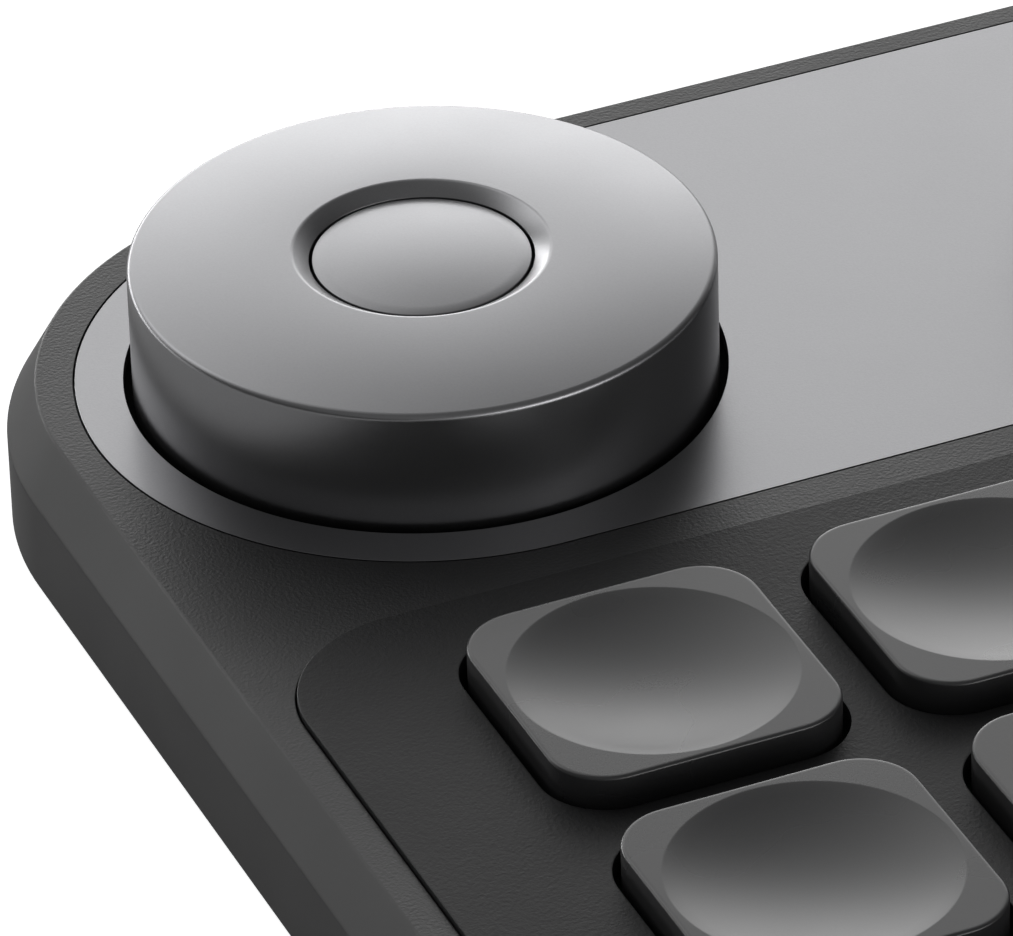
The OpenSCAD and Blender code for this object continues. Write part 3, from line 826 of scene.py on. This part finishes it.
class KEYPAD_OT_knobs(bpy.types.Operator):
    """Builds the two turned knobs and the button in the middle of each"""

    bl_idname = "keypad.knobs"
    bl_label = "Knobs and buttons"

    def execute(self, context):
        s = context.scene.keypad_shape
        for side in SIDES:
            self.knob(s, side)
            self.button(s, side)
        return {"FINISHED"}

    def knob(self, s, side):
        """Builds one knob, with its coned top, its lip and its hollow."""
        node = side + "_knob"
        x, y = middle(node)
        r = spread(node)[0] / 2
        low, lip = level(node, False), level(node)
        edge = lip - s.knob_crown

        # The hollow between wall and hub, with coved corners, and the bore's seat for the button
        inner_r, chamfer, cove = r - s.knob_wall, size(0.2), size(0.6)
        ceiling = edge - s.knob_top_t
        hub_r, socket_r, hub_low, seat = size(8.04), size(5.4), low + size(0.3), edge - size(2.9)
        bm = bmesh.new()
        chain(bm, [
            (inner_r, low), (r - chamfer, low), (r, low + chamfer), (r, edge), (s.lip_r, lip),
            (s.bore_r, edge), (s.bore_r, seat), (socket_r, seat), (socket_r, hub_low),
            (hub_r, hub_low), (hub_r, ceiling - cove), (hub_r + cove, ceiling),
            (inner_r - cove, ceiling), (inner_r, ceiling - cove), (inner_r, low)])
        turn(bm, x, y)
        soften(bm, ring_at(bm, r, edge, x, y), s.knob_edge, 6)
        soften(bm, ring_at(bm, s.lip_r, lip, x, y), s.lip_edge, 4)
        soften(bm, ring_at(bm, s.bore_r, edge, x, y), s.bore_edge, 2)
        piece(
            bm, side + "_knob_turned", node, "blasted_knob_aluminium", "knob_aluminium", node)

    def button(self, s, side):
        """Builds one button, a shallow dome with a recess for its plunger."""
        node = side + "_knob_button"
        x, y = middle(node)
        r = spread(node)[0] / 2
        low, top = level(node, False), level(node)
        ball_r = (r**2 + s.button_dome**2) / (2 * s.button_dome)
        recess_r, recess_top = size(2.6), low + size(0.8)
        bm = bmesh.new()
        arc(bm, top, -ball_r, asin(r / ball_r), 8)
        rim = max(bm.verts, key=lambda v: v.co.x)
        verts = chain(bm, [(r, low), (recess_r, low), (recess_r, recess_top), (0, recess_top)])
        bm.edges.new((rim, verts[0]))
        turn(bm, x, y)
        soften(bm, ring_at(bm, r, top - s.button_dome, x, y), s.button_edge, 3)
        piece(
            bm, side + "_button_turned", node, "blasted_knob_aluminium", "button_aluminium",
            node)


class KEYPAD_OT_underside(bpy.types.Operator):
    """Builds the bottom cover, its two foot strips and its four screws"""

    bl_idname = "keypad.underside"
    bl_label = "Underside"

    def execute(self, context):
        s = context.scene.keypad_shape
        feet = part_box("foot_strips")
        foot_places = [sign * (feet[1].y - s.foot_w / 2) for sign in (-1, 1)]
        self.cover(s, foot_places)
        self.feet(s, foot_places)
        self.screws()
        return {"FINISHED"}

    def cover(self, s, foot_places):
        """Builds the cover, with recesses, countersinks and the posts for the board."""
        w, d = spread("bottom_cover")
        low, post_top = level("bottom_cover", False), level("bottom_cover")
        top = low + s.cover_t
        r = s.corner_r + s.taper_w - s.wall - s.cover_gap
        bm = bmesh.new()
        outer = [rounded_ring(bm, w + 2 * grow, d + 2 * grow, r + grow, flat(z)) for grow, z in (
            (-s.cover_edge - size(0.25), low), (0, low), (0, top))]
        skin(bm, *outer)
        soften(bm, outer[1], s.cover_edge, 3)
        lower, upper = [outer[0]], [outer[2]]
        foot_l = spread("foot_strips")[0]
        for y in foot_places:
            recess = [foot_ring(bm, foot_l, s.foot_w, grow, flat(z, 0, y)) for grow, z in (
                (s.foot_gap + size(0.15), low), (s.foot_gap, low),
                (s.foot_gap, low + s.foot_sink))]
            skin(bm, *recess)
            soften(bm, recess[1], size(0.08), 2)
            fill(bm, [recess[2]], -UP)
            lower.append(recess[0])
        mouth_r, hole_r, sink_h = HEAD_R + size(0.08), size(1.15), size(0.9)
        for x, y in screw_places():
            sink = [round_ring(bm, radius, z, x, y, 64) for radius, z in (
                (mouth_r + size(0.17), low), (mouth_r, low), (hole_r, low + sink_h),
                (hole_r, top))]
            skin(bm, *sink)
            soften(bm, sink[1], size(0.04), 2)
            lower.append(sink[0])
            upper.append(sink[-1])
        for x, y in self.posts():
            post = [round_ring(bm, radius, z, x, y, HOLE_STEPS) for radius, z in (
                (s.post_r, top), (s.post_r, post_top), (s.post_r - size(0.3), post_top))]
            skin(bm, *post)
            fill(bm, [post[2]])
            soften(bm, post[1], size(0.1), 2)
            upper.append(post[0])
        fill(bm, lower, -UP)
        fill(bm, upper)
        piece(
            bm, "cover_panel", "case", "moulded_cover_abs", "cover_plastic", "bottom_cover")

    def posts(self):
        """Where the posts stand: between the keys, and beside the chip."""
        xs = [middle(f"keycap_r1_c{c}")[0] for c in COLUMNS]
        ys = [middle(f"keycap_r{r}_c1")[1] for r in ROWS]
        between = [((x0 + x1) / 2, (y0 + y1) / 2)
                   for x0, x1 in zip(xs, xs[1:]) for y0, y1 in zip(ys, ys[1:])]
        chip_side, chip_y = size(10.5), middle("left_knob")[1] - size(3.5)
        return between + [(-chip_side, chip_y), (chip_side, chip_y)]

    def feet(self, s, foot_places):
        """Builds the two rubber strips."""
        foot_l = spread("foot_strips")[0]
        low, top = level("foot_strips", False), level("foot_strips")
        bm = bmesh.new()
        for y in foot_places:
            rings = [foot_ring(bm, foot_l, s.foot_w, grow, flat(z, 0, y)) for grow, z in (
                (-s.foot_edge - size(0.25), low), (0, low), (0, top))]
            skin(bm, *rings)
            soften(bm, rings[1], s.foot_edge, 5)
            fill(bm, [rings[0]], -UP)
            fill(bm, [rings[2]])
        piece(bm, "foot_pads", "case", "foot_rubber", "foot_rubber", "foot_strips")

    def screws(self):
        """Builds the countersunk screws, each with a cross recess and a thread."""
        low, tip = level("case_screws", False), level("case_screws")
        core, crest, pitch, flank = size(0.8), size(1), size(0.4), size(0.1)
        face_r, land, head_h, point = HEAD_R - size(0.06), size(0.05), size(1), size(0.2)
        first = low + head_h + size(0.15)
        turns = int((tip - first - size(0.15)) / pitch)
        bm = bmesh.new()
        for x, y in screw_places():
            one = bmesh.new()
            section = [(face_r, low), (HEAD_R, low + land), (core, low + head_h)]
            for n in range(turns):
                z = first + n * pitch
                section += [(core, z - flank), (crest, z), (core, z + flank)]
            section += [(core, tip - point), (core - point, tip), (0, tip)]
            chain(one, section)
            turn(one, x, y, HOLE_STEPS)
            head = ring_at(one, face_r, low, x, y)
            mouth = cross_ring(one, size(2.2), size(0.44), flat(low, x, y))
            sole = cross_ring(one, size(1.5), size(0.26), flat(low + size(0.5), x, y))
            fill(one, [head, mouth], -UP)
            skin(one, mouth, sole)
            fill(one, [sole], -UP)
            join(bm, one)
        piece(bm, "cover_screws", "case", "plated_steel", "screw_steel", "case_screws")


class KEYPAD_OT_inlet(bpy.types.Operator):
    """Builds the USB-C inlet: its drawn shell, its tongue and its contacts"""

    bl_idname = "keypad.inlet"
    bl_label = "USB-C inlet"

    def execute(self, context):
        low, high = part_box("usb_c_receptacle")
        z = inlet_level()
        mouth, back = high.y, low.y
        wall, drawn, floor_t, lip = size(0.3), size(0.2), size(1), size(0.1)
        bm = bmesh.new()
        rings = [pill_ring(bm, INLET_W + 2 * grow, INLET_H + 2 * grow, upright(y, z))
                 for grow, y in (
                     (-drawn, back), (0, back + drawn), (0, mouth), (-wall, mouth),
                     (-wall, back + floor_t))]
        skin(bm, *rings, away=Vector((0, -1, 0)))
        fill(bm, [rings[0]], Vector((0, -1, 0)))
        fill(bm, [rings[4]], Vector((0, 1, 0)))
        soften(bm, rings[2], lip, 3)
        soften(bm, rings[3], lip, 3)
        tab = Vector((size(1.6), size(2.4), size(0.3)))
        tab_x, tab_y = INLET_W / 2 + size(0.5), back + size(1.8)
        tab_z = level("circuit_board") + tab.z / 2
        for x in (-tab_x, tab_x):
            block(bm, tab, (x, tab_y, tab_z), size(0.05))
        piece(bm, "inlet_shell", "case", "plated_steel", "usb_steel", "usb_c_receptacle")

        tongue_w, tongue_t, tongue_l = INLET_W * 0.75, size(0.7), size(5.5)
        tip = mouth - size(0.8)
        bm = bmesh.new()
        block(bm, (tongue_w, tongue_l, tongue_t), (0, tip - tongue_l / 2, z), size(0.12))
        piece(bm, "inlet_tongue", "case", "inlet_lcp", "chip_epoxy")

        # Two rows of 12 contacts, 0.5 mm apart
        contact = Vector((size(0.26), size(3.4), size(0.06)))
        contact_y = tip - size(0.5) - contact.y / 2
        bm = bmesh.new()
        for n in range(12):
            x = (n - 5.5) * size(0.5)
            for side in (-1, 1):
                block(bm, contact, (x, contact_y, z + side * tongue_t / 2), size(0.012))
        piece(bm, "inlet_contacts", "case", "gilt_contact", "usb_steel")
        return {"FINISHED"}


class KEYPAD_OT_inside(bpy.types.Operator):
    """Gives the parts inside the case their finishes"""

    bl_idname = "keypad.inside"
    bl_label = "Inner parts"

    def execute(self, context):
        finishes = {
            "circuit_board": ("board_laminate", "board_laminate"),
            "board_chips": ("chip_epoxy", "chip_epoxy"),
            "switch_housings": ("switch_nylon", "switch_plastic"),
            "switch_domes": ("dome_steel", "dome_steel"),
        }
        for side in SIDES:
            finishes[side + "_encoder_base"] = ("switch_nylon", "encoder_plastic")
            finishes[side + "_button_dome"] = ("dome_steel", "dome_steel")
            finishes[side + "_knob_rotor"] = ("rotor_nylon", "rotor_plastic")
            finishes[side + "_button_plunger"] = ("plunger_pom", "plunger_plastic")
        for key in KEYS:
            finishes["switch_stem_" + key] = ("stem_pom", "stem_plastic")
        for node, (name, slot) in finishes.items():
            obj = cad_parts[node]
            obj.data.materials.clear()
            obj.data.materials.append(material(name))
        return {"FINISHED"}


# ---- Stage ----


# Soft panels of light round the keypad: azimuth from straight behind in degrees, how narrow
# the panel is (more is narrower), its rise over the horizon in degrees, its soft height as a
# share of the sky, and its radiance
PANELS = {
    "back_panel": (25.1, 10.9, 20.3, 0.182, 2.65),
    "back_horizon": (-6.0, 4.8, 1.3, 0.136, 7.4),
    "front_horizon": (156.2, 9.8, 1.7, 0.229, 4.1),
    "side_panel": (-21.0, 8.5, 33.7, 0.163, 1.1),
    "high_panel": (-18.3, 6.0, 47.2, 0.171, 1.04),
    "front_panel": (-150.0, 2.0, 33.0, 0.3, 0.14),
    "ceiling": (0.0, 0.0, 90.0, 0.427, 0.135),
}


def glow(tree, around, rise, below, azimuth, narrow, elevation, height, radiance):
    """Adds one soft panel of light to the light below it, and returns the sum."""
    way = (sin(radians(azimuth)), cos(radians(azimuth)), 0)
    facing = add(tree, "VectorMath", operation="DOT_PRODUCT", _0=around, _1=way).outputs["Value"]
    across = add(tree, "Math", operation="MULTIPLY_ADD", _0=facing, _1=narrow, _2=-narrow)
    off = add(tree, "Math", operation="SUBTRACT", _0=rise, _1=sin(radians(elevation)))
    share = add(tree, "Math", operation="DIVIDE", _0=off, _1=height)
    square = add(tree, "Math", operation="MULTIPLY", _0=share, _1=share)
    power = add(tree, "Math", operation="SUBTRACT", _0=across, _1=square)
    soft = add(tree, "Math", operation="EXPONENT", _0=power)
    return add(tree, "Math", operation="MULTIPLY_ADD", _0=soft, _1=radiance, _2=below)


class KEYPAD_OT_stage(bpy.types.Operator):
    """Sets up the camera, the floor and the room that lights the keypad"""

    bl_idname = "keypad.stage"
    bl_label = "Stage"

    def execute(self, context):
        s = context.scene.keypad_stage
        self.camera(context, s)
        bm = bmesh.new()
        bmesh.ops.create_grid(bm, x_segments=1, y_segments=1, size=s.floor_half)
        bmesh.ops.translate(bm, vec=(0, 0, -NEAR), verts=bm.verts)
        mesh = bpy.data.meshes.new("floor")
        bm.to_mesh(mesh)
        bm.free()
        mesh.materials.append(white_ground("floor_paper", s.floor_lift, s.floor_gloss))
        floor = bpy.data.objects.new("floor", mesh)
        context.scene.collection.objects.link(floor)
        self.room(context, s)
        return {"FINISHED"}

    def camera(self, context, s):
        """Makes the camera and turns it to the left knob."""
        az, el = s.azimuth, s.elevation
        back = Vector((sin(az) * cos(el), -cos(az) * cos(el), sin(el)))
        right = Matrix.Rotation(s.roll, 3, back) @ (-back).cross(UP).normalized()
        over = back.cross(right)
        knob = Vector((*middle("left_knob"), level("inlay_plate")))
        camera = bpy.data.objects.new("camera", bpy.data.cameras.new("camera"))
        camera.data.sensor_width = 36
        camera.data.lens = s.lens
        camera.data.clip_start, camera.data.clip_end = 0.05, 50
        rotation = Matrix((right, over, back)).transposed()
        camera.rotation_mode = "QUATERNION"
        camera.rotation_quaternion = rotation.to_quaternion()
        camera.location = knob + back * s.distance + right * s.aside - over * s.below
        context.scene.collection.objects.link(camera)
        context.scene.camera = camera

    def room(self, context, s):
        """Lights the keypad with soft panels, in a room that is white to the camera."""
        world = bpy.data.worlds.new("room")
        world.use_nodes = True
        tree = world.node_tree
        tree.nodes.clear()
        toward = add(tree, "TexCoord").outputs["Generated"]
        rise = add(tree, "SeparateXYZ", Vector=toward).outputs["Z"]
        level_way = add(tree, "VectorMath", operation="MULTIPLY", _0=toward, _1=(1, 1, 0))
        around = add(tree, "VectorMath", operation="NORMALIZE", _0=level_way)
        light = s.ambient
        for panel in PANELS.values():
            light = glow(tree, around, rise, light, *panel)
        light = add(tree, "Math", operation="MULTIPLY", _0=light, _1=s.light)
        rays = add(tree, "LightPath").outputs
        seen = add(
            tree, "Math", operation="MAXIMUM", _0=rays["Is Camera Ray"],
            _1=rays["Is Transmission Ray"])
        strength = add(tree, "Mix", _0=seen, _2=light, _3=1.0)
        sky = add(tree, "Background", Color=(1, 1, 1, 1), Strength=strength)
        add(tree, "OutputWorld", Surface=sky)
        context.scene.world = world
        context.scene.view_settings.view_transform = "Standard"


OPERATORS = (
    KEYPAD_OT_case, KEYPAD_OT_plate, KEYPAD_OT_deck, KEYPAD_OT_caps, KEYPAD_OT_knobs,
    KEYPAD_OT_underside, KEYPAD_OT_inlet, KEYPAD_OT_inside, KEYPAD_OT_stage)


class KEYPAD_PT_panel(bpy.types.Panel):
    """Lists the sizes, the finishes and the steps that build the keypad"""

    bl_idname = "KEYPAD_PT_panel"
    bl_label = "Macro Keypad"
    bl_space_type = "VIEW_3D"
    bl_region_type = "UI"
    bl_category = "Keypad"

    def draw(self, context):
        scene = context.scene
        for group in (scene.keypad_shape, scene.keypad_finish, scene.keypad_stage):
            box = self.layout.box()
            for name in group.__annotations__:
                box.prop(group, name)
        for operator in OPERATORS:
            self.layout.operator(operator.bl_idname)


CLASSES = (KeypadShape, KeypadFinish, KeypadStage, *OPERATORS, KEYPAD_PT_panel)


def register():
    """Registers the classes and gives each scene its keypad settings."""
    for cls in CLASSES:
        bpy.utils.register_class(cls)
    bpy.types.Scene.keypad_shape = bpy.props.PointerProperty(type=KeypadShape)
    bpy.types.Scene.keypad_finish = bpy.props.PointerProperty(type=KeypadFinish)
    bpy.types.Scene.keypad_stage = bpy.props.PointerProperty(type=KeypadStage)


def unregister():
    """Takes back all that register adds."""
    for name in ("keypad_shape", "keypad_finish", "keypad_stage"):
        delattr(bpy.types.Scene, name)
    for cls in reversed(CLASSES):
        bpy.utils.unregister_class(cls)


def main():
    """Builds everything in order."""
    register()
    bpy.ops.keypad.case()
    bpy.ops.keypad.plate()
    bpy.ops.keypad.deck()
    bpy.ops.keypad.caps()
    bpy.ops.keypad.knobs()
    bpy.ops.keypad.underside()
    bpy.ops.keypad.inlet()
    bpy.ops.keypad.inside()
    bpy.ops.keypad.stage()


if __name__ == "__main__":
    main()
